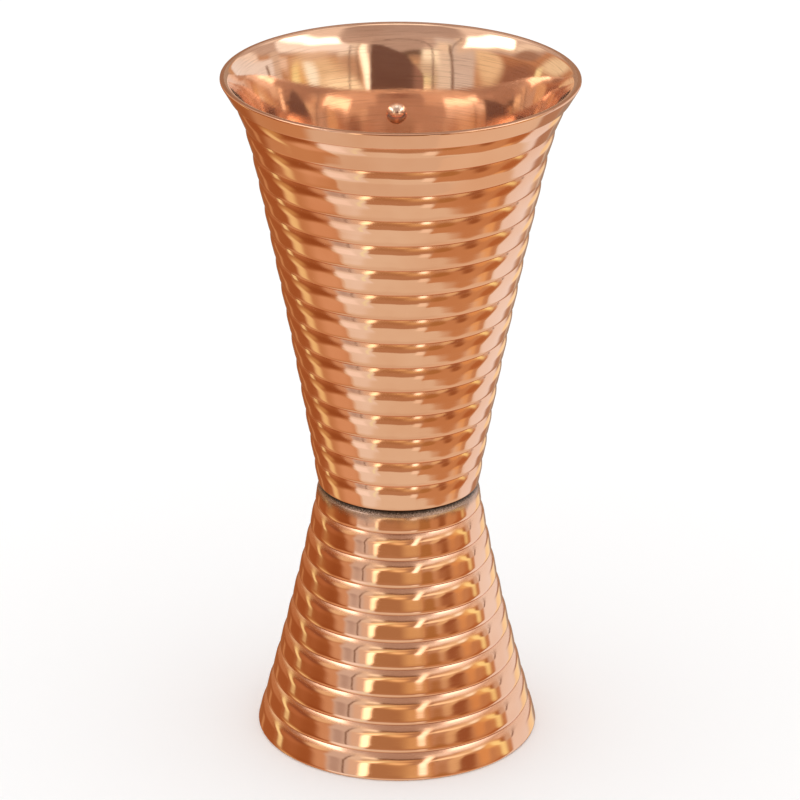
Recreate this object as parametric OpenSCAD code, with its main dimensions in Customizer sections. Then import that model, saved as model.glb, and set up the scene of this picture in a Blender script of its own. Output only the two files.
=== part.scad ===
// A double-ended bar jigger: a large cup standing mouth up on a small cup that is turned mouth down
// to serve as the foot. Both cups are turned shells whose outsides are stepped into a stack of rings.
// The origin is the middle of the foot's resting plane, and +Z runs up the cups' common axis.

/* [Small cup] */
// Height of the small cup, from its mouth (the foot) to its flat floor
lower_h = 40; // [38.5:0.1:42]
// Diameter over the rings at the foot
foot_d = 43.2; // [40:0.1:46]
// Diameter over the rings at the small cup's floor
lower_waist_d = 24.14; // [23:0.02:26]
// How far the small cup's side bows inwards between its ends
lower_bow = 0.53; // [0:0.01:1]

/* [Large cup] */
// Height of the large cup, from its floor to its rim
upper_h = 64; // [63.5:0.1:65]
// Diameter over the rings at the large cup's floor
upper_waist_d = 24.4; // [23:0.1:26]
// Diameter over the rings where the straight cone gives way to the flare
cone_d = 43.64; // [42:0.02:44.4]
// How far the large cup's side bows inwards along the cone
upper_bow = 0.34; // [0:0.01:1]
// Extra radius that the flare adds at the highest groove
flare = 0.87; // [0.4:0.01:1.2]
// Diameter over the rim
rim_d = 52.6; // [52:0.1:54]

/* [Rings] */
// Height of one ring, from groove to groove
ring_h = 4.07; // [4:0.01:4.15]
// Depth of the grooves below the cup's general outline
groove = 0.36; // [0.2:0.01:0.45]
// How much further out each ring stands at its top than at its bottom, against that outline
lean = 0.2; // [0:0.01:0.3]
// Radius of the shoulder at the top of each ring
shoulder_r = 4; // [1:0.1:6]
// Radius of the small rounding at the bottom of each ring
edge_r = 1.2; // [0.6:0.05:1.6]

/* [Walls] */
// Thickness of the cups' walls, measured level
wall = 1; // [0.9:0.05:1.4]
// Thickness of the cups' floors
floor_t = 1.6; // [1:0.1:2.5]
// Thickness of the large cup's lip
lip_t = 0.9; // [0.8:0.05:1.3]
// Slope of the lip's outside, from upright
lip_slope = 30; // [26:1:34]
// Radius of the fillet between wall and floor inside each cup
inner_fillet = 3; // [1:0.5:5]

/* [Waist joint] */
// Thickness of the solder film between the two floors
solder_t = 0.2; // [0.1:0.05:0.4]

/* [Measure mark] */
// Height of the domed stud's middle above the foot's plane
mark_z = 91.5; // [70:0.1:94]
// Diameter of the stud's domed head
mark_d = 3.2; // [2:0.1:4]
// Height of the dome above the inside wall
mark_rise = 1.15; // [0.5:0.05:1.4]
// Diameter of the peg that holds the stud in the wall
peg_d = 1.4; // [1:0.1:1.6]

/* [Hidden] */
copper = [0.86, 0.55, 0.40];
tin = [0.62, 0.60, 0.58];
upper_rings = 15;
lower_rings = 10;
cone_rings = 13;
flare_from = 12.9 * ring_h;
upper_z = lower_h + solder_t;
lip_z = upper_rings * ring_h;
foot_round = 0.6;
foot_inner_round = 0.12;
base_round = 0.4;
lip_round = 0.3;
lip_foot = 0.5;
lip_bend = 0.3;
lip_turn = 3;
waist_round = 1.3;
waist_steps = 8;
solder_from = 2;
solder_neck = 0.15;
solder_swell = 0.25;
head_seat = 0.1;
peg_len = 0.5;
edge_steps = 3;
shoulder_steps = 5;
curve_steps = 6;
wall_steps = 24;
$fn = 180;

// A curve that leaves p0 towards p1 and arrives at p2 from p1
function blend(p0, p1, p2, steps) =
    [for (i = [0:steps]) let (t = i / steps) (1 - t) * (1 - t) * p0 + 2 * t * (1 - t) * p1 + t * t * p2];

// A straight cone that bows inwards, with radius r0 at height 0 and r1 at height h
function bowed(z, h, r0, r1, bow) =
    let (t = z / h) r0 + (r1 - r0) * t - bow * 4 * t * (1 - t);

// Outline radius of each cup over its rings, at a height above that cup's own lower end
function upper_outline(z) =
    let (t = max(0, z - flare_from) / (lip_z - flare_from))
    bowed(z, cone_rings * ring_h, upper_waist_d / 2, cone_d / 2, upper_bow) + flare * t * t;
function lower_outline(z) = bowed(z, lower_h, foot_d / 2, lower_waist_d / 2, lower_bow);

// Radius inside each cup
function upper_inside(z) =
    let (top = upper_outline(upper_h) - wall,
         t = max(0, z - upper_h + lip_turn) / lip_turn)
    upper_outline(z) - wall + (rim_d / 2 - lip_t - top) * t * t;
function lower_inside(z) = lower_outline(z) - wall;

// An arc of radius r that touches the straight side at p, runs along the unit vector `way` towards the
// groove's bottom, and ends there; `out` is the side's outward normal
function round_in(p, way, out, cusp, r, steps) =
    let (depth = (p - cusp) * out,
         turn = acos(1 - depth / r),
         start = cusp + out * depth - way * r * sin(turn))
    [for (i = [0:steps]) let (a = turn * i / steps) start + way * r * sin(a) - out * r * (1 - cos(a))];

function reversed(list) = [for (i = [len(list) - 1:-1:0]) list[i]];
function trimmed(list) = [for (i = [0:len(list) - 2]) list[i]];

// The straight side of a ring between the heights z0 and z1
function side(z0, r0, z1, r1) = [[r0 - lean / 2, z0], [r1 + lean / 2, z1]];
function unit(v) = v / norm(v);
function outward(v) = [v.y, -v.x];

// Outside of one ring, from the groove below it up to just under the groove above it
function ring(z0, r0, z1, r1) =
    let (s = side(z0, r0, z1, r1), up = unit(s[1] - s[0]), out = outward(up))
    concat(
        reversed(round_in(s[0], -up, out, [r0 - groove, z0], edge_r, edge_steps)),
        trimmed(round_in(s[1], up, out, [r1 - groove, z1], shoulder_r, shoulder_steps)));

// Outside of a ring whose bottom is the cup's own end, rounded over by `round`
function end_ring(r0, z1, r1, round) =
    let (s = side(0, r0, z1, r1), up = unit(s[1] - s[0]))
    concat(
        blend(s[0] - [round, 0], s[0], s[0] + up * round, curve_steps),
        trimmed(round_in(s[1], up, outward(up), [r1 - groove, z1], shoulder_r, shoulder_steps)));

upper_side = concat(
    end_ring(upper_outline(0), ring_h, upper_outline(ring_h), base_round),
    [for (k = [1:upper_rings - 1], p = ring(k * ring_h, upper_outline(k * ring_h),
        (k + 1) * ring_h, upper_outline((k + 1) * ring_h))) p]);

// The lip steps out over the highest groove, flares straight up and is rounded over at the rim
lip_start = [upper_outline(lip_z) - groove, lip_z];
lip_end = [rim_d / 2, upper_h - lip_round];
lip_way = [sin(lip_slope), cos(lip_slope)];
lip_corner = [lip_end.x - (lip_end.y - lip_z) * tan(lip_slope), lip_z];
lip_side = concat(
    blend(lip_start, lip_corner, lip_corner + lip_foot * lip_way, curve_steps),
    blend(lip_end - lip_bend * lip_way, lip_end, lip_end + [0, 0.04], edge_steps),
    blend(lip_end + [0, 0.06], [rim_d / 2, upper_h], [rim_d / 2 - lip_round, upper_h], curve_steps));

function inside_wall(z0, z1) = [for (i = [0:wall_steps]) z0 + (z1 - z0) * i / wall_steps];

upper_hollow = concat(
    blend([upper_inside(upper_h) + lip_round, upper_h], [upper_inside(upper_h), upper_h],
        [upper_inside(upper_h - lip_round), upper_h - lip_round], curve_steps),
    [for (z = inside_wall(upper_h - 2 * lip_round, floor_t + inner_fillet)) [upper_inside(z), z]],
    blend([upper_inside(floor_t + inner_fillet), floor_t + inner_fillet] - [0, 0.01],
        [upper_inside(floor_t), floor_t], [upper_inside(floor_t) - inner_fillet, floor_t], curve_steps),
    [[0, floor_t]]);

lower_floor_z = lower_h - floor_t;
lower_hollow = concat(
    [[0, lower_floor_z]],
    blend([lower_inside(lower_floor_z) - inner_fillet, lower_floor_z],
        [lower_inside(lower_floor_z), lower_floor_z],
        [lower_inside(lower_floor_z - inner_fillet), lower_floor_z - inner_fillet], curve_steps),
    [for (z = inside_wall(lower_floor_z - inner_fillet - 0.5, 0.5)) [lower_inside(z), z]],
    blend([lower_inside(foot_inner_round), foot_inner_round], [lower_inside(0), 0],
        [lower_inside(0) + foot_inner_round, 0], edge_steps));

// The small cup's top ring turns over into its flat floor, and the solder lies on that turn
last_groove = (lower_rings - 1) * ring_h;
top_ring = side(last_groove, lower_outline(last_groove), lower_h, lower_waist_d / 2);
top_up = unit(top_ring[1] - top_ring[0]);
waist_turn = blend(top_ring[1] - top_up * waist_round, top_ring[1],
    top_ring[1] - [waist_round, 0], waist_steps);
lower_side = concat(
    end_ring(foot_d / 2, ring_h, lower_outline(ring_h), foot_round),
    [for (k = [1:lower_rings - 2], p = ring(k * ring_h, lower_outline(k * ring_h),
        (k + 1) * ring_h, lower_outline((k + 1) * ring_h))) p],
    reversed(round_in(top_ring[0], -top_up, outward(top_up),
        [lower_outline(last_groove) - groove, last_groove], edge_r, edge_steps)),
    waist_turn);

// Slope of the large cup's inside wall at the mark, and the mark's place on that wall
mark_h = mark_z - upper_z;
mark_slope = atan((upper_inside(mark_h + 1) - upper_inside(mark_h - 1)) / 2);

module at_mark() {
    translate([0, upper_inside(mark_h), mark_z])
        rotate([90 - mark_slope, 0, 0])
            children();
}

// The large cup, with a shallow seat and a blind hole for the stud
module upper_cup() {
    color(copper)
        difference() {
            translate([0, 0, upper_z])
                rotate_extrude()
                    polygon(concat([[0, 0]], upper_side, lip_side, upper_hollow));
            at_mark()
                translate([0, 0, -head_seat])
                    cylinder(h = 2, d = mark_d);
            at_mark()
                translate([0, 0, -peg_len])
                    cylinder(h = peg_len, d = peg_d);
        }
}

module lower_cup() {
    color(copper)
        rotate_extrude()
            polygon(concat(lower_side, [[0, lower_h]], lower_hollow));
}

// The film of solder between the floors, and the fillet that runs out over the small cup's shoulder
module waist_solder() {
    covered = [for (i = [waist_steps:-1:solder_from]) waist_turn[i]];
    shore = waist_turn[solder_from];
    top_edge = [upper_outline(0) - lean / 2 - base_round - solder_neck, upper_z];
    color(tin)
        rotate_extrude()
            polygon(concat([[0, lower_h]], trimmed(covered),
                blend(shore, [top_edge.x + solder_swell, lower_h], top_edge, curve_steps),
                [[0, upper_z]]));
}

// A domed head on a short peg
module measure_stud() {
    dome_r = (mark_d * mark_d / 4 + mark_rise * mark_rise) / (2 * mark_rise);
    color(copper)
        at_mark() {
            rotate_extrude()
                polygon(concat(
                    [[0, -peg_len], [peg_d / 2, -peg_len], [peg_d / 2, -head_seat], [mark_d / 2, -head_seat]],
                    [for (i = [0:shoulder_steps * 2])
                        let (a = asin(mark_d / 2 / dome_r) * (1 - i / (shoulder_steps * 2)))
                        [dome_r * sin(a), mark_rise - dome_r * (1 - cos(a))]]));
        }
}

upper_cup();
lower_cup();
waist_solder();
measure_stud();
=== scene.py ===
"""A double-ended copper jigger: two stepped cups soldered floor to floor, on a pale floor."""

import math

import bmesh
import bpy
import numpy as np
from mathutils import Matrix, Quaternion, Vector


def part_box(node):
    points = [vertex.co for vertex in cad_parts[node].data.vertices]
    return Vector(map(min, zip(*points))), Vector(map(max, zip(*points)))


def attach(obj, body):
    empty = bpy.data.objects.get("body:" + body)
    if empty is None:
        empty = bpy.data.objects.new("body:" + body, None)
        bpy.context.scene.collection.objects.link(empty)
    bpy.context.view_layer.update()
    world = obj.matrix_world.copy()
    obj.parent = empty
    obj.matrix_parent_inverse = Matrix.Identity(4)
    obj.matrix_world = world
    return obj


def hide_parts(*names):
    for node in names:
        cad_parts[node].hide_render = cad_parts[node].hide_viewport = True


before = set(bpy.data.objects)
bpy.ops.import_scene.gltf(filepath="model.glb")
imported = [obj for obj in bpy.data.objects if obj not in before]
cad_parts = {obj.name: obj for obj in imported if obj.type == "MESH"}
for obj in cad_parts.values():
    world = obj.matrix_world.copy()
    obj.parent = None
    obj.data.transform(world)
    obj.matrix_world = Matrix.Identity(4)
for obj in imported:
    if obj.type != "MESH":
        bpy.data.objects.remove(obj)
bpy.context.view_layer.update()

# ---------------------------------------------------------------- sizes, in metres
MM = 0.001
UPPER_RINGS, LOWER_RINGS, CONE_RINGS = 15, 10, 13
RING_H = 4.07 * MM
# The cones that the rings follow: the radii at their ends, how far their sides bow in, and the top's flare
UPPER_WAIST_R = 12.2 * MM
CONE_R = 21.82 * MM
UPPER_BOW = 0.34 * MM
FLARE = 0.87 * MM
FOOT_R = 21.6 * MM
LOWER_WAIST_R = 12.07 * MM
LOWER_BOW = 0.53 * MM
# The rings, the walls and the rounded edges
GROOVE = 0.36 * MM
LEAN = 0.2 * MM
SHOULDER_R = 4.0 * MM
EDGE_R = 1.2 * MM
WALL = 1.0 * MM
FLOOR_T = 1.6 * MM
INNER_FILLET = 3.0 * MM
LIP_ROUND = 0.3 * MM
LIP_T = 0.9 * MM
LIP_SLOPE = math.radians(30)
LIP_FOOT = 0.5 * MM
LIP_BEND = 0.3 * MM
LIP_TURN = 3.0 * MM
FOOT_ROUND = 0.6 * MM
FOOT_INNER_ROUND = 0.12 * MM
BASE_ROUND = 0.4 * MM
WAIST_ROUND = 1.3 * MM
# The measuring mark inside the large cup, and the solder at the waist
MARK_D = 3.2 * MM
MARK_RISE = 1.15 * MM
MARK_Z = 91.5 * MM
PEG_D = 1.4 * MM
PEG_LEN = 0.5 * MM
HEAD_SEAT = 0.1 * MM
SOLDER_FROM = 4  # steps along the waist's turn, from the side, to the solder's edge
SOLDER_NECK = 0.15 * MM
SOLDER_SWELL = 0.25 * MM
# Unevenness of the walls: waves round the cup, height of one wave, phase, size
WAVES = [(3, 31 * MM, 0.4, 0.008 * MM), (7, 17 * MM, 1.9, 0.004 * MM), (13, 9 * MM, 4.0, 0.0015 * MM)]

# The cups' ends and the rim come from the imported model
LOWER_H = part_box("lower_cup")[1].z
UPPER_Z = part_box("upper_cup")[0].z
UPPER_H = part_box("upper_cup")[1].z - UPPER_Z
RIM_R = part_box("upper_cup")[1].x

FLARE_FROM = 12.9 * RING_H
LIP_Z = UPPER_RINGS * RING_H
WAIST_GROOVE_Z = (LOWER_RINGS - 1) * RING_H

# How finely things are divided: faces round a cup, and steps along its outline
AROUND = 240
EDGE_STEPS = 6
SHOULDER_STEPS = 10
SIDE_STEPS = 4
CURVE_STEPS = 10


# ---------------------------------------------------------------- outlines
def bowed(z, height, r0, r1, bow):
    """A cone from radius r0 to r1 whose side bows inwards."""
    t = z / height
    return r0 + (r1 - r0) * t - bow * 4 * t * (1 - t)


def upper_outline(z):
    t = max(0.0, z - FLARE_FROM) / (LIP_Z - FLARE_FROM)
    return bowed(z, CONE_RINGS * RING_H, UPPER_WAIST_R, CONE_R, UPPER_BOW) + FLARE * t * t


def lower_outline(z):
    return bowed(z, LOWER_H, FOOT_R, LOWER_WAIST_R, LOWER_BOW)


def upper_inside(z):
    top = upper_outline(UPPER_H) - WALL
    t = max(0.0, z - UPPER_H + LIP_TURN) / LIP_TURN
    return upper_outline(z) - WALL + (RIM_R - LIP_T - top) * t * t


def lower_inside(z):
    return lower_outline(z) - WALL


def vec(r, z):
    return np.array([r, z], float)


def unit(v):
    return v / np.linalg.norm(v)


def outward(v):
    return vec(v[1], -v[0])


def blend(p0, p1, p2, steps):
    """A curve that leaves p0 towards p1 and arrives at p2 from p1."""
    ts = [i / steps for i in range(steps + 1)]
    return [(1 - t) ** 2 * p0 + 2 * t * (1 - t) * p1 + t * t * p2 for t in ts]


def straight(p0, p1, steps):
    """Points between p0 and p1, both left out."""
    return [p0 + (p1 - p0) * i / steps for i in range(1, steps)]


def round_in(p, way, out, cusp, radius, steps):
    """An arc that touches the straight side near p and ends in the groove at cusp."""
    depth = float(np.dot(p - cusp, out))
    turn = math.acos(1 - depth / radius)
    start = cusp + out * depth - way * radius * math.sin(turn)
    angles = [turn * i / steps for i in range(steps + 1)]
    return [start + way * radius * math.sin(a) - out * radius * (1 - math.cos(a)) for a in angles]


def side(z0, r0, z1, r1):
    """The two ends of a ring's leaning side, before its edges are rounded."""
    return vec(r0 - LEAN / 2, z0), vec(r1 + LEAN / 2, z1)


def ring(z0, r0, z1, r1):
    """Outside of one ring, from the groove below it up to just under the groove above it."""
    a, b = side(z0, r0, z1, r1)
    up = unit(b - a)
    foot = round_in(a, -up, outward(up), vec(r0 - GROOVE, z0), EDGE_R, EDGE_STEPS)[::-1]
    head = round_in(b, up, outward(up), vec(r1 - GROOVE, z1), SHOULDER_R, SHOULDER_STEPS)[:-1]
    return foot + straight(foot[-1], head[0], SIDE_STEPS) + head


def end_ring(r0, z1, r1, rounding):
    """Outside of a ring whose bottom is the cup's own end."""
    a, b = side(0.0, r0, z1, r1)
    up = unit(b - a)
    foot = blend(a - vec(rounding, 0), a, a + up * rounding, CURVE_STEPS)
    head = round_in(b, up, outward(up), vec(r1 - GROOVE, z1), SHOULDER_R, SHOULDER_STEPS)[:-1]
    return foot + straight(foot[-1], head[0], SIDE_STEPS) + head


def upper_profile():
    """From the base's edge up the outside, over the lip, and down the inside to the floor."""
    points = end_ring(upper_outline(0), RING_H, upper_outline(RING_H), BASE_ROUND)
    for k in range(1, UPPER_RINGS):
        z0, z1 = k * RING_H, (k + 1) * RING_H
        points += ring(z0, upper_outline(z0), z1, upper_outline(z1))
    end = vec(RIM_R, UPPER_H - LIP_ROUND)
    way = vec(math.sin(LIP_SLOPE), math.cos(LIP_SLOPE))
    corner = vec(RIM_R - (end[1] - LIP_Z) * math.tan(LIP_SLOPE), LIP_Z)
    foot = blend(vec(upper_outline(LIP_Z) - GROOVE, LIP_Z), corner, corner + way * LIP_FOOT,
                 CURVE_STEPS)
    # The bend and the rounding above it meet in a short upright stretch
    bend = blend(end - way * LIP_BEND, end, end + vec(0, 0.04 * MM), 6)
    points += foot + straight(foot[-1], bend[0], 6) + bend
    points += blend(end + vec(0, 0.06 * MM), vec(RIM_R, UPPER_H), vec(RIM_R - LIP_ROUND, UPPER_H), 8)
    top_in = upper_inside(UPPER_H)
    points += blend(vec(top_in + LIP_ROUND, UPPER_H), vec(top_in, UPPER_H),
                    vec(upper_inside(UPPER_H - LIP_ROUND), UPPER_H - LIP_ROUND), 8)
    floor_edge = FLOOR_T + INNER_FILLET
    for z in np.linspace(UPPER_H - 1.2 * LIP_ROUND, floor_edge, 48):
        points.append(vec(upper_inside(z), z))
    corner = upper_inside(FLOOR_T)
    points += blend(vec(upper_inside(floor_edge), floor_edge), vec(corner, FLOOR_T),
                    vec(corner - INNER_FILLET, FLOOR_T), CURVE_STEPS)[1:]
    return points


def lower_profile():
    """The outside up to the floor's edge at the waist, and the inside down to the foot."""
    points = end_ring(lower_outline(0), RING_H, lower_outline(RING_H), FOOT_ROUND)
    for k in range(1, LOWER_RINGS - 1):
        z0, z1 = k * RING_H, (k + 1) * RING_H
        points += ring(z0, lower_outline(z0), z1, lower_outline(z1))
    a, b = waist_side()
    up = unit(b - a)
    groove = vec(lower_outline(WAIST_GROOVE_Z) - GROOVE, WAIST_GROOVE_Z)
    foot = round_in(a, -up, outward(up), groove, EDGE_R, EDGE_STEPS)[::-1]
    turn = waist_turn()
    points += foot + straight(foot[-1], turn[0], SIDE_STEPS) + turn
    floor_z = LOWER_H - FLOOR_T
    corner = lower_inside(floor_z)
    bend_z = floor_z - INNER_FILLET
    inner = blend(vec(corner - INNER_FILLET, floor_z), vec(corner, floor_z),
                  vec(lower_inside(bend_z), bend_z), CURVE_STEPS)
    for z in np.linspace(bend_z, 0.5 * MM, 36)[1:]:
        inner.append(vec(lower_inside(z), z))
    inner += blend(vec(lower_inside(FOOT_INNER_ROUND), FOOT_INNER_ROUND), vec(lower_inside(0), 0),
                   vec(lower_inside(0) + FOOT_INNER_ROUND, 0), 5)
    return points, inner


def waist_side():
    """The side of the small cup's top ring."""
    return side(WAIST_GROOVE_Z, lower_outline(WAIST_GROOVE_Z), LOWER_H, lower_outline(LOWER_H))


def waist_turn():
    """The small cup's top ring turning over into its flat floor."""
    a, b = waist_side()
    return blend(b - unit(b - a) * WAIST_ROUND, b, b - vec(WAIST_ROUND, 0), 16)


# ---------------------------------------------------------------- meshes
def wobble(angle, z):
    """The slight unevenness of hand-turned metal, in metres."""
    total = 0.0
    for count, height, phase, size in WAVES:
        total += size * math.sin(count * angle + 2 * math.pi * z / height + phase)
    return total


def revolve(name, points, base_z=0.0, around=AROUND, sharp=math.radians(20), uneven=0.0):
    """A surface of revolution of an open or closed run of (r, z) points; a point on the axis closes it."""
    bm = bmesh.new()
    rows = []
    turns = [2 * math.pi * i / around for i in range(around)]
    for r, z in points:
        if r < 1e-6:
            rows.append([bm.verts.new((0, 0, base_z + z))])
            continue
        radii = [r + uneven * wobble(t, base_z + z) for t in turns]
        spots = [(q * math.cos(t), q * math.sin(t), base_z + z) for q, t in zip(radii, turns)]
        rows.append([bm.verts.new(spot) for spot in spots])
    for low, high in zip(rows, rows[1:]):
        for i in range(around):
            j = (i + 1) % around
            corners = [low[i % len(low)], low[j % len(low)], high[j % len(high)], high[i % len(high)]]
            bm.faces.new(list(dict.fromkeys(corners)))
    bmesh.ops.recalc_face_normals(bm, faces=bm.faces)
    mesh = bpy.data.meshes.new(name)
    bm.to_mesh(mesh)
    bm.free()
    mesh.shade_smooth()
    mesh.set_sharp_from_angle(angle=sharp)
    return add_object(name, mesh)


def add_object(name, data):
    made = bpy.data.objects.new(name, data)
    bpy.context.collection.objects.link(made)
    return made


def make_upper_cup():
    points = [vec(0, 0)] + upper_profile() + [vec(0, FLOOR_T)]
    return revolve("upper_cup_shell", points, base_z=UPPER_Z, uneven=1.0)


def make_lower_cup():
    outside, inside = lower_profile()
    points = [vec(0, LOWER_H - FLOOR_T)] + inside + outside + [vec(0, LOWER_H)]
    return revolve("lower_cup_shell", points, uneven=1.0)


def make_solder():
    """The film between the floors and the fillet of solder round the waist."""
    turn = waist_turn()
    shore = turn[SOLDER_FROM]
    top_edge = vec(upper_outline(0) - LEAN / 2 - BASE_ROUND - SOLDER_NECK, UPPER_Z)
    bead = blend(shore, vec(top_edge[0] + SOLDER_SWELL, LOWER_H), top_edge, 14)
    points = [vec(0, LOWER_H)] + turn[:SOLDER_FROM:-1] + bead + [vec(0, UPPER_Z)]
    return revolve("waist_solder_bead", points)


def make_stud():
    """A domed head on a short peg, square to the inside wall."""
    place = MARK_Z - UPPER_Z
    slope = math.atan2(upper_inside(place + MM) - upper_inside(place - MM), 2 * MM)
    dome_r = (MARK_D ** 2 / 4 + MARK_RISE ** 2) / (2 * MARK_RISE)
    reach = math.asin(MARK_D / 2 / dome_r)
    points = [vec(0, -PEG_LEN), vec(PEG_D / 2, -PEG_LEN), vec(PEG_D / 2, -HEAD_SEAT),
              vec(MARK_D / 2, -HEAD_SEAT)]
    steps = 24
    for i in range(steps):
        a = reach * (1 - i / steps)
        points.append(vec(dome_r * math.sin(a), MARK_RISE - dome_r * (1 - math.cos(a))))
    points.append(vec(0, MARK_RISE))
    stud = revolve("measure_stud_dome", points, around=64, sharp=math.radians(35))
    stud.data.transform(Matrix.Translation((0, upper_inside(place), MARK_Z))
                        @ Matrix.Rotation(math.pi / 2 - slope, 4, "X"))
    return stud


# ---------------------------------------------------------------- materials
class Shader:
    """Adds linked nodes to one material, so that each finish reads as a short recipe."""

    def __init__(self, name):
        self.material = bpy.data.materials.new(name)
        self.material.use_nodes = True
        self.tree = self.material.node_tree
        self.surface = self.tree.nodes["Principled BSDF"]
        self.where = self.add("ShaderNodeTexCoord").outputs["Object"]

    def add(self, kind, **settings):
        made = self.tree.nodes.new(kind)
        for key, value in settings.items():
            setattr(made, key, value)
        return made

    def put(self, socket, value):
        if isinstance(value, bpy.types.NodeSocket):
            self.tree.links.new(value, socket)
        else:
            socket.default_value = value

    def set(self, **values):
        for key, value in values.items():
            self.put(self.surface.inputs[key.replace("_", " ")], value)

    def stretched(self, across, up):
        """Object coordinates scaled apart from each other, for marks that run round the cup."""
        mapping = self.add("ShaderNodeMapping")
        self.put(mapping.inputs["Vector"], self.where)
        mapping.inputs["Scale"].default_value = (across, across, up)
        return mapping.outputs["Vector"]

    def noise(self, vector, detail=3.0, rough=0.5):
        made = self.add("ShaderNodeTexNoise")
        self.put(made.inputs["Vector"], vector)
        made.inputs["Scale"].default_value = 1.0
        made.inputs["Detail"].default_value = detail
        made.inputs["Roughness"].default_value = rough
        return made.outputs["Fac"]

    def ramp(self, value, low, high, to_low=0.0, to_high=1.0):
        made = self.add("ShaderNodeMapRange", interpolation_type="SMOOTHSTEP")
        for socket, v in zip(made.inputs, (value, low, high, to_low, to_high)):
            self.put(socket, v)
        return made.outputs["Result"]

    def mix(self, factor, a, b):
        made = self.add("ShaderNodeMix", data_type="RGBA")
        self.put(made.inputs[0], factor)
        self.put(made.inputs[6], a)
        self.put(made.inputs[7], b)
        return made.outputs[2]

    def math(self, how, a, b=0.0):
        made = self.add("ShaderNodeMath", operation=how)
        self.put(made.inputs[0], a)
        self.put(made.inputs[1], b)
        return made.outputs[0]

    def height(self):
        made = self.add("ShaderNodeSeparateXYZ")
        self.put(made.inputs[0], self.where)
        return made.outputs["Z"]

    def bump(self, value, distance, strength=1.0, under=None):
        made = self.add("ShaderNodeBump")
        made.inputs["Distance"].default_value = distance
        made.inputs["Strength"].default_value = strength
        self.put(made.inputs["Height"], value)
        if under is not None:
            self.put(made.inputs["Normal"], under)
        return made.outputs["Normal"]


# Base colours: the metals, the solder, the soot and the groove colour, which also stand for painted shade,
# and the stud's painted red reflection
COPPER = (0.90, 0.55, 0.38, 1)
DEEP_COPPER = (0.84, 0.47, 0.30, 1)
PALE_COPPER = (0.92, 0.615, 0.44, 1)
WORN_COPPER = (0.86, 0.55, 0.38, 1)
STUD_COPPER = (0.96, 0.76, 0.62, 1)
# Red-orange of the painted reflection on the stud's underside
UNDERSIDE_REFLECTION_RED = (0.95, 0.40, 0.18, 1)
TIN = (0.42, 0.29, 0.23, 1)
# Near-black for the soot and painted shade in the crevice under the large cup
SOOT_AND_SHADE = (0.06, 0.045, 0.035, 1)
# Dark brown for the brush strokes inside and for each ring's groove, where it is partly a dirty film and
# partly painted shade
GRIME_AND_SHADE = (0.26, 0.14, 0.08, 1)


def polished_copper(name, rings_from, dull_tops, tinned_from=None):
    """Buffed copper with faint turning lines. Grime and painted shade darken the groove under each ring, and
    the buff has missed the top of each ring, which is rougher by dull_tops; rings are counted from the
    height rings_from. Above the height tinned_from, solder has wetted the copper grey."""
    s = Shader(name)
    cloud = s.noise(s.stretched(60, 60), 4)
    lines = s.noise(s.stretched(90, 5200), 3, 0.6)
    color = s.mix(s.ramp(cloud, 0.35, 0.7), COPPER, DEEP_COPPER)
    rough = s.math("ADD", s.ramp(lines, 0.3, 0.75, 0.05, 0.10), s.ramp(cloud, 0.4, 0.7, 0.0, 0.03))
    step = s.math("FRACT", s.math("DIVIDE", s.math("SUBTRACT", s.height(), rings_from), RING_H))
    # Painted shade: the groove at the foot of each ring is darkened, with uneven strength as a dirty film
    # would have.
    groove_grime_and_shade = s.math("MULTIPLY", s.ramp(step, 0.0, 0.045, 1.0, 0.0), s.ramp(cloud, 0.3, 0.7, 0.35, 1.0))
    color = s.mix(groove_grime_and_shade, color, GRIME_AND_SHADE)
    rough = s.math("ADD", rough, s.math("MULTIPLY", groove_grime_and_shade, 0.2))
    rough = s.math("ADD", rough, s.ramp(step, 0.72, 0.92, 0.0, dull_tops))
    if tinned_from is not None:
        ragged = s.noise(s.stretched(500, 500), 5, 0.65)
        level = s.math("ADD", s.height(), s.ramp(ragged, 0.2, 0.8, -0.45 * MM, 0.45 * MM))
        tinned = s.ramp(level, tinned_from, tinned_from + 1.7 * MM)
        color = s.mix(tinned, color, TIN)
        rough = s.math("ADD", rough, s.math("MULTIPLY", tinned, 0.25))
    s.set(Base_Color=color, Roughness=rough, Metallic=1.0)
    s.set(Normal=s.bump(lines, 0.0006 * MM))
    return s.material


def brushed_copper():
    """The inside of a cup, rubbed round and round."""
    s = Shader("brushed_copper")
    cloud = s.noise(s.stretched(110, 110), 4)
    strokes = s.noise(s.stretched(130, 6000), 4, 0.7)
    color = s.mix(s.ramp(cloud, 0.35, 0.7), PALE_COPPER, WORN_COPPER)
    color = s.mix(s.ramp(strokes, 0.48, 0.75, 0.0, 0.3), color, GRIME_AND_SHADE)
    s.set(Base_Color=color, Roughness=s.ramp(strokes, 0.3, 0.75, 0.04, 0.09), Metallic=0.9)
    s.set(Normal=s.bump(strokes, 0.003 * MM))
    return s.material


def stud_copper():
    """The stud's copper, pale where fingers rub it, and on its underside redder and less metallic, a painted
    red-orange reflection.
    """
    s = Shader("stud_copper")
    cloud = s.noise(s.stretched(700, 700), 4)
    # Painted reflection: towards its underside the stud turns red-orange and less metallic.
    under = s.ramp(s.height(), MARK_Z - 0.9 * MM, MARK_Z + 0.2 * MM, 1.0, 0.0)
    rubbed = s.mix(s.ramp(cloud, 0.35, 0.7), STUD_COPPER, PALE_COPPER)
    s.set(Base_Color=s.mix(under, rubbed, UNDERSIDE_REFLECTION_RED), Roughness=s.ramp(cloud, 0.3, 0.7, 0.06, 0.13))
    s.set(Metallic=s.ramp(under, 0.0, 1.0, 0.85, 0.3), Normal=s.bump(cloud, 0.01 * MM))
    return s.material


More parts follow.
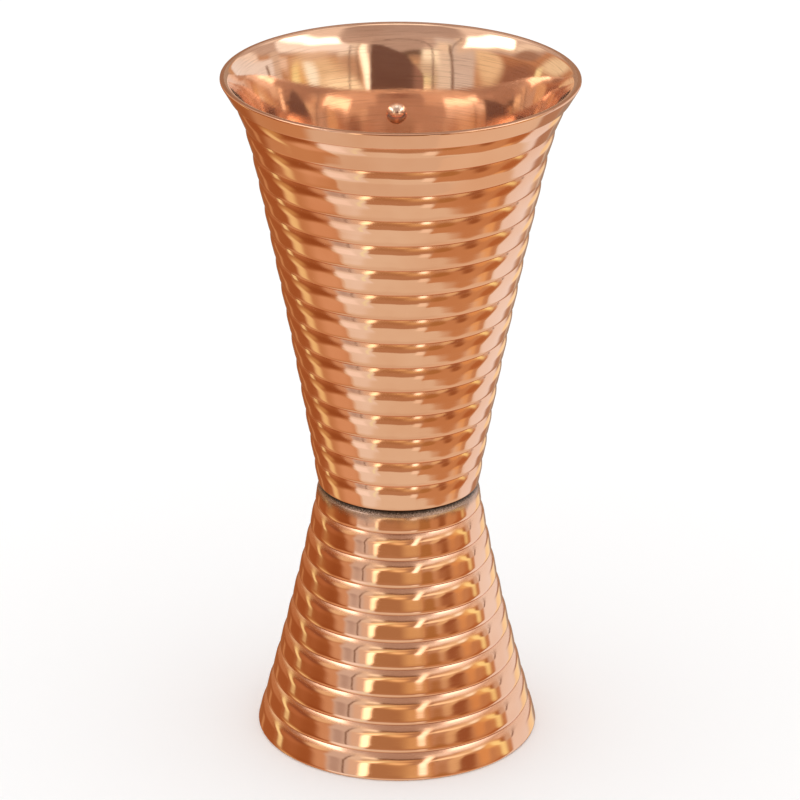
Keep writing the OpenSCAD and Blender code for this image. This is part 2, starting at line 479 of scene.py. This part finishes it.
def tin_solder():
    """Dull grey solder, pitted, and darkest in the crevice under the large cup, where soot and painted shade
    darken it.
    """
    s = Shader("tin_solder")
    grain = s.noise(s.stretched(4200, 4200), 3, 0.6)
    level = s.math("ADD", s.height(), s.ramp(grain, 0.3, 0.7, -0.12 * MM, 0.12 * MM))
    # Soot and painted shade: the solder darkens towards the crevice under the large cup.
    crevice_soot_and_shade = s.ramp(level, LOWER_H - 0.6 * MM, LOWER_H - 0.04 * MM)
    s.set(Base_Color=s.mix(crevice_soot_and_shade, TIN, SOOT_AND_SHADE), Roughness=s.ramp(grain, 0.3, 0.7, 0.22, 0.42), Metallic=0.95)
    s.set(Normal=s.bump(grain, 0.08 * MM))
    return s.material


def assign(piece, *materials):
    for m in materials:
        piece.data.materials.append(m)


upper, lower, solder, stud = make_upper_cup(), make_lower_cup(), make_solder(), make_stud()
assign(upper, polished_copper("polished_copper", rings_from=UPPER_Z, dull_tops=0.04), brushed_copper())
assign(lower, polished_copper("polished_copper_tinned", rings_from=0.0, dull_tops=0.12,
                              tinned_from=LOWER_H - 2.0 * MM), brushed_copper())
assign(solder, tin_solder())
assign(stud, stud_copper())

for piece, node, slot in ((upper, "upper_cup", "cup_copper"), (lower, "lower_cup", "cup_copper"),
                          (solder, "waist_solder", "solder"), (stud, "measure_stud", "stud_copper")):
    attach(piece, "root")
    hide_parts(node)

# A cup's second finish goes on its inside, where the faces look back at the axis
for piece in (upper, lower):
    for face in piece.data.polygons:
        if face.normal.x * face.center.x + face.normal.y * face.center.y < -1e-7:
            face.material_index = 1


# ---------------------------------------------------------------- the studio
def edge(x, at, soft):
    """A soft step from 0 to 1, as wide as soft, where x passes at."""
    t = np.clip((x - at) / soft + 0.5, 0, 1)
    return t * t * (3 - 2 * t)


def wavering(az, el):
    """Bends straight edges a little, so that no reflection looks ruled."""
    bent_az = az + 1.0 * np.sin(0.16 * el + 0.6) + 0.5 * np.sin(0.3 * el + 0.09 * az)
    bent_el = el + 1.0 * np.sin(0.11 * az + 0.4) + 0.5 * np.sin(0.27 * az + 1.3)
    return bent_az, bent_el


def painted(az, el, base, panels):
    """Light by direction: each panel is (shape, azimuths, elevations, lean, softness, colour), in degrees.
    Azimuth 0 is the camera's side and grows to the viewer's right. Lean moves a panel sideways as it
    rises."""
    light = np.empty(az.shape + (4,))
    light[:] = (*base, 1)
    az, el = wavering(az, el)
    for shape, (a0, a1), (e0, e1), lean, soft, colour in panels:
        across = az - lean * (el - (e0 + e1) / 2) - (a0 + a1) / 2
        up = el - (e0 + e1) / 2
        wide, tall = (a1 - a0) / 2, (e1 - e0) / 2
        if shape == "oval":
            reach = np.hypot(across / wide, up / tall)
            amount = 1 - edge(reach, 1, soft / min(wide, tall))
        else:
            amount = (1 - edge(abs(across), wide, soft)) * (1 - edge(abs(up), tall, soft))
        light += amount[..., None] * (np.array((*colour, 1)) - light)
    return light


def glowing(name, spots, faces, light):
    """A mesh that only reflections see, shining with the colour given at each vertex."""
    mesh = bpy.data.meshes.new(name)
    mesh.from_pydata(spots, [], faces)
    shades = mesh.attributes.new("light", "FLOAT_COLOR", "POINT")
    shades.data.foreach_set("color", light.astype(np.float32).ravel())
    made = add_object(name, mesh)
    s = Shader(name)
    shine = s.add("ShaderNodeEmission")
    source = s.add("ShaderNodeAttribute", attribute_name="light")
    s.put(shine.inputs["Color"], source.outputs["Color"])
    s.put(s.tree.nodes["Material Output"].inputs["Surface"], shine.outputs[0])
    s.tree.nodes.remove(s.surface)
    s.material.cycles.emission_sampling = "NONE"
    assign(made, s.material)
    made.visible_camera = False
    made.visible_diffuse = False
    made.visible_shadow = False
    return made


def grid_faces(rows, columns):
    faces = []
    for i in range(rows - 1):
        for j in range(columns):
            k = (j + 1) % columns
            faces.append((i * columns + j, i * columns + k, (i + 1) * columns + k, (i + 1) * columns + j))
    return faces


# Colours of light in the studio
WHITE = (3.0, 3.0, 3.0)
GLARE = (1.25, 1.25, 1.05)
PAPER = (0.93, 0.93, 0.90)
CARD = (0.83, 0.75, 0.62)
NEAR_CARD = (0.77, 0.66, 0.53)
GOLD = (1.12, 1.1, 0.62)
WOOD = (0.54, 0.26, 0.12)
DARK_WOOD = (0.40, 0.16, 0.06)
TAN = (0.62, 0.35, 0.18)
BLUSH = (0.72, 0.67, 0.64)
CREAM = (1.04, 0.97, 0.84)
BROWN = (0.52, 0.31, 0.18)
GREY = (0.49, 0.38, 0.33)
CAMERA = (0.125, 0.047, 0.027)
MAROON = (0.31, 0.16, 0.115)
BAR = (0.22, 0.15, 0.12)
SHADE = (0.14, 0.07, 0.035)
HAZE = (0.96, 0.86, 0.78)
SKY = (0.60, 0.48, 0.42)
# Shape, azimuths, elevations, lean, softness and colour; each panel covers the ones before it
SKY_PANELS = [
    # the floor, the room's walls round it, and the ceiling
    ("box", (-200, 200), (-95, 24), 0, 6, TAN),
    ("box", (-64, 170), (-95, -20), 0, 2.5, CARD),
    ("box", (-64, 120), (-95, -50), 0, 4, NEAR_CARD),
    ("box", (-170, -62), (-95, -58), 0, 5, NEAR_CARD),
    ("box", (-186, -158), (-50, 30), 0, 8, (0.40, 0.26, 0.18)),
    ("box", (156, 186), (-50, 30), 0, 6, (0.42, 0.30, 0.22)),
    ("box", (-200, 200), (48, 95), 0, 20, (0.45, 0.35, 0.31)),
    ("box", (-140, -56), (40, 72), 0, 10, HAZE),
    ("box", (52, 140), (40, 72), 0, 10, HAZE),
    ("oval", (-215, -160), (50, 76), 0, 10, MAROON),
    ("oval", (160, 215), (50, 76), 0, 10, MAROON),
    ("box", (-200, 200), (76, 100), 0, 8, (1.3, 1.25, 1.15)),
    # in front, with the dark shape of the camera
    ("box", (-29, 28), (-27, -9), 0, 3, BROWN),
    ("box", (-28, 24), (-10, 3), 0, 4, (0.47, 0.27, 0.14)),
    ("box", (5, 26), (-9, 3), 0, 14, (0.80, 0.56, 0.28)),
    ("box", (8, 20), (2, 21), 0, 5, (0.52, 0.33, 0.20)),
    ("box", (-20, -7), (12, 21), 0, 5, (0.46, 0.32, 0.22)),
    ("oval", (-15, 9), (1, 15), 0, 8, (0.66, 0.42, 0.20)),
    ("oval", (-8, 9), (4, 13), 0, 6, (1.05, 0.80, 0.44)),
    ("oval", (-13, 12), (16, 23), 0, 4, (0.82, 0.60, 0.34)),
    ("box", (-20, 19), (23.5, 28.5), -0.1, 3, SHADE),
    ("box", (-20, 22), (29, 46), 0, 3, GREY),
    # left
    ("box", (-155, -62), (-28, 24), 0, 8, WOOD),
    ("box", (-170, -119), (-37, -12), 0, 6, (0.40, 0.145, 0.05)),
    ("box", (-150, -144), (-34, -18), 0, 4, (0.62, 0.32, 0.14)),
    ("oval", (-94, -62), (-48, -32), 0, 8, (0.76, 0.47, 0.29)),
    ("oval", (-120, -60), (-31, 20), 0, 12, DARK_WOOD),
    ("oval", (-113, -78), (4, 17), -0.3, 7, (0.30, 0.12, 0.06)),
    ("oval", (-95, -68), (-26, -10), 0, 8, (0.34, 0.12, 0.04)),
    ("oval", (-112, -88), (-8, 7), 0, 9, (0.50, 0.22, 0.10)),
    ("oval", (-74, -54), (-14, 12), 0, 9, (0.70, 0.44, 0.27)),
    ("box", (-119, -112), (-12, 14), -0.3, 4, GOLD),
    ("oval", (-118, -96), (-30, -14), 0, 8, (0.64, 0.40, 0.17)),
    ("oval", (-117, -105), (-41, -23), 0, 7, (0.96, 0.82, 0.44)),
    ("oval", (-83, -68), (12, 24), 0.3, 7, (0.98, 0.82, 0.56)),
    ("oval", (-78, -60), (10, 32), 0.5, 8, (0.92, 0.76, 0.50)),
    ("box", (-60, -29), (-11, 46), 0, 6, BLUSH),
    ("box", (-60, -46), (28, 46), 0, 6, (0.84, 0.72, 0.60)),
    ("oval", (-57, -47), (-8, 5), 0.2, 6, (0.54, 0.47, 0.45)),
    ("box", (-41, -30), (8, 40), 0, 6, (0.86, 0.80, 0.70)),
    ("box", (-32, -19), (20, 30), 0, 5, GLARE),
    ("box", (-41, -30), (28, 37), 0, 5, (0.95, 0.85, 0.70)),
    ("box", (-30, -18), (13, 22), 0, 5, (0.70, 0.60, 0.46)),
    ("box", (-40, -30), (-10, 10), 0, 5, (0.80, 0.66, 0.54)),
    ("box", (-43.5, -41.7), (-9, 36), 0.12, 1.4, (0.22, 0.14, 0.10)),
    ("box", (-60, -29), (-46, -11), 0, 3, PAPER),
    ("box", (-60, -42), (-38, -18), 0, 6, (1.08, 1.10, 1.12)),
    ("box", (-35, -31.5), (-40, -8), 0.17, 2.5, (1.0, 1.1, 0.85)),
    ("oval", (-31, -24), (-9, 5), 0.35, 4, (2.3, 2.1, 1.6)),
    ("oval", (-30, -14), (4, 13), 1.2, 6, (1.6, 1.45, 1.0)),
    ("oval", (-24, -4), (13.5, 17), 0.8, 3, GOLD),
    ("box", (-128, -97), (28, 37), 0, 5, (0.95, 0.86, 0.74)),
    ("oval", (-152, -120), (6, 20), 0, 7, (0.92, 0.82, 0.58)),
    ("box", (-97, -60), (29, 36), 0, 5, (0.92, 0.78, 0.62)),
    ("oval", (-119, -95), (21, 31), 0, 4, (0.36, 0.20, 0.13)),
    ("box", (-98, -54), (33, 46), -0.4, 4, WHITE),
    # right
    ("box", (27, 103), (-45.2, 22), 0, 2.5, TAN),
    ("oval", (60, 82), (-38, -6), 0, 8, (0.64, 0.36, 0.18)),
    ("oval", (81, 101), (-35, -11), 0, 7, (0.50, 0.21, 0.08)),
    ("oval", (84, 96), (-46, -35), 0, 5, (0.86, 0.54, 0.25)),
    ("oval", (42, 178), (-80, -40), 0, 2, (0.83, 0.70, 0.55)),
    ("box", (29, 46), (-8, 36), 0, 4, (0.62, 0.41, 0.27)),
    ("box", (45, 80), (-8, 10), 0, 5, (0.60, 0.36, 0.20)),
    ("oval", (54, 66), (-24, -7), 0, 6, (0.36, 0.15, 0.06)),
    ("oval", (49, 64), (-9, 3), 0.5, 5, (0.36, 0.15, 0.07)),
    ("oval", (66, 80), (-9, 8), 0, 6, (0.80, 0.46, 0.20)),
    ("oval", (42, 54), (-6, 10), 0.6, 4, (0.85, 0.66, 0.40)),
    ("box", (17, 25.5), (-38, -23), 0, 4, CREAM),
    ("oval", (25, 42), (-23, -4), 0, 5, (0.46, 0.24, 0.09)),
    ("box", (20.5, 27), (-2, 36), 0.22, 4, (2.0, 2.0, 1.8)),
    ("box", (30, 32), (4, 36), 0, 2, (0.36, 0.22, 0.14)),
    ("oval", (42, 85), (8, 23), 0.3, 7, (0.92, 0.76, 0.50)),
    ("oval", (26, 60), (7, 15), 0.6, 4, (1.25, 1.15, 0.85)),
    ("oval", (64, 76), (11, 20), 0, 5, (1.25, 1.4, 1.3)),
    ("oval", (52, 84), (21, 34), 0, 7, (0.88, 0.72, 0.55)),
    ("oval", (76, 92), (-8, 17), -0.4, 7, (0.92, 0.64, 0.28)),
    ("oval", (85, 93.5), (-15, 14), -0.45, 4, (1.15, 1.15, 0.6)),
    ("oval", (92, 101), (-6, 10), 0, 4, (0.46, 0.22, 0.10)),
    ("box", (90, 103), (12, 22), 0, 5, (0.96, 0.80, 0.68)),
    ("box", (97, 106), (-10, 27), 0, 5, (0.74, 0.62, 0.52)),
    ("box", (104, 150), (-39, 20), 0, 4, (0.97, 0.99, 1.02)),
    ("box", (107, 109.6), (-10, 14), 0.25, 1.6, (0.30, 0.22, 0.18)),
    ("oval", (136, 158), (-44, -26), 0, 5, (0.50, 0.30, 0.19)),
    ("oval", (134, 158), (-17, -10), 0, 5, (0.42, 0.22, 0.12)),
    ("oval", (131, 152), (-27, -16), 0, 4, (1.08, 0.96, 0.62)),
    ("box", (31, 46), (23, 36), 0, 5, (0.98, 0.95, 0.86)),
    ("box", (118, 150), (18, 25), 0, 5, (1.05, 1.0, 0.95)),
    ("box", (40, 104), (27.5, 39), 0.9, 5, (1.2, 1.2, 1.2)),
    ("box", (49, 106), (37, 45), 0.6, 5, WHITE),
]


def make_sky():
    """Everything round the jigger, as a far sphere of painted panels."""
    columns, rows, radius = 720, 361, 10.0
    elevations = np.linspace(-89.9, 89.9, rows)
    azimuths = np.arange(columns) * 360 / columns - 180
    el, az = np.meshgrid(elevations, azimuths, indexing="ij")
    light = painted(az, el, SKY, SKY_PANELS)
    a, e = np.radians(az), np.radians(el)
    spots = np.stack([np.sin(a) * np.cos(e), -np.cos(a) * np.cos(e), np.sin(e)], -1) * radius
    return glowing("studio_sky", spots.reshape(-1, 3).tolist(), grid_faces(rows, columns), light)


# The near dome's radius, and the height of its middle above the floor
DOME_R = 0.09


def near_spot(az, el):
    """A point of a small dome round the large cup's mouth, for what the cup's inside reflects."""
    a, e = math.radians(az), math.radians(el)
    x, y = math.sin(a) * math.cos(e), -math.cos(a) * math.cos(e)
    return (DOME_R * x, DOME_R * y, DOME_R + DOME_R * math.sin(e))


def make_camera_shape():
    """The dark shape of the camera, with a slanting top and a reddish side."""
    columns, rows = 32, 8
    left, right = -22, 25
    bottom, highest, drop = 12, 49, 24
    spots = []
    light = []
    for i in range(columns):
        az = left + (right - left) * i / (columns - 1)
        top = highest - drop * ((right - az) / (right - left)) ** 1.6
        dark = edge(az, -13, 6)
        for j in range(rows):
            spots.append(near_spot(az, bottom + (top - bottom) * j / (rows - 1)))
            light.append((*(np.array(MAROON) * (1 - dark) + np.array(CAMERA) * dark), 1))
    faces = [(i * rows + j, (i + 1) * rows + j, (i + 1) * rows + j + 1, i * rows + j + 1)
             for i in range(columns - 1) for j in range(rows - 1)]
    return glowing("studio_camera_shape", spots, faces, np.array(light))


def make_window_bar(name, path, width):
    """A thin dark bar along a path of (azimuth, elevation) points on the near dome."""
    path = [np.array(p, float) for p in path]
    spots = []
    for i, p in enumerate(path):
        along = path[min(i + 1, len(path) - 1)] - path[max(i - 1, 0)]
        across = outward(unit(along)) * width / 2
        spots += [near_spot(*(p - across)), near_spot(*(p + across))]
    faces = [(2 * i, 2 * i + 1, 2 * i + 3, 2 * i + 2) for i in range(len(path) - 1)]
    return glowing(name, spots, faces, np.array([(*BAR, 1)] * len(spots)))


make_sky()
make_camera_shape()
make_window_bar("studio_bar_a", [(-47, 13), (-47, 40), (-50, 46), (-57, 53), (-68, 59)], 1.3)
make_window_bar("studio_bar_b", [(-30, 13), (-30, 44), (-27, 52), (-20, 57), (0, 60), (16, 57)], 1.5)
make_window_bar("studio_bar_c", [(43, 14), (44, 38), (45, 47)], 1.3)

FLOOR_HALF = 3.0
floor_mesh = bpy.data.meshes.new("floor")
floor_corners = [(x * FLOOR_HALF, y * FLOOR_HALF, 0) for x, y in ((-1, -1), (1, -1), (1, 1), (-1, 1))]
floor_mesh.from_pydata(floor_corners, [], [(0, 1, 2, 3)])
floor = add_object("floor", floor_mesh)
paper = Shader("floor_paper")
paper.set(Base_Color=(0.93, 0.93, 0.93, 1), Roughness=0.9, Specular_IOR_Level=0.1)
assign(floor, paper.material)
floor.visible_glossy = False

# The plain white light that falls on the floor and on what isn't polished
ROOM_LIGHT = 1.12
world = bpy.data.worlds.new("room")
bpy.context.scene.world = world
world.use_nodes = True
world.node_tree.nodes["Background"].inputs["Color"].default_value = (1, 1, 1, 1)
world.node_tree.nodes["Background"].inputs["Strength"].default_value = ROOM_LIGHT

# ---------------------------------------------------------------- camera
ELEVATION = math.radians(22.66)
AZIMUTH = math.radians(-1.6)
DISTANCE = 0.6213
LOOK_Z = 0.05315
ROLL = math.radians(0.33)
SIDE_STEP = 0.00018
LENS = 186.4
SENSOR = 36
level = math.cos(ELEVATION)
back = Vector((math.sin(AZIMUTH) * level, -math.cos(AZIMUTH) * level, math.sin(ELEVATION)))
right = Vector((math.cos(AZIMUTH), math.sin(AZIMUTH), 0))
cam = bpy.data.objects.new("camera", bpy.data.cameras.new("camera"))
bpy.context.collection.objects.link(cam)
cam.data.lens = LENS
cam.data.sensor_width = SENSOR
cam.location = Vector((0, 0, LOOK_Z)) + back * DISTANCE + right * SIDE_STEP
cam.rotation_mode = "QUATERNION"
cam.rotation_quaternion = (-back).to_track_quat("-Z", "Y") @ Quaternion((0, 0, 1), ROLL)
bpy.context.scene.camera = cam
bpy.context.scene.view_settings.view_transform = "Standard"
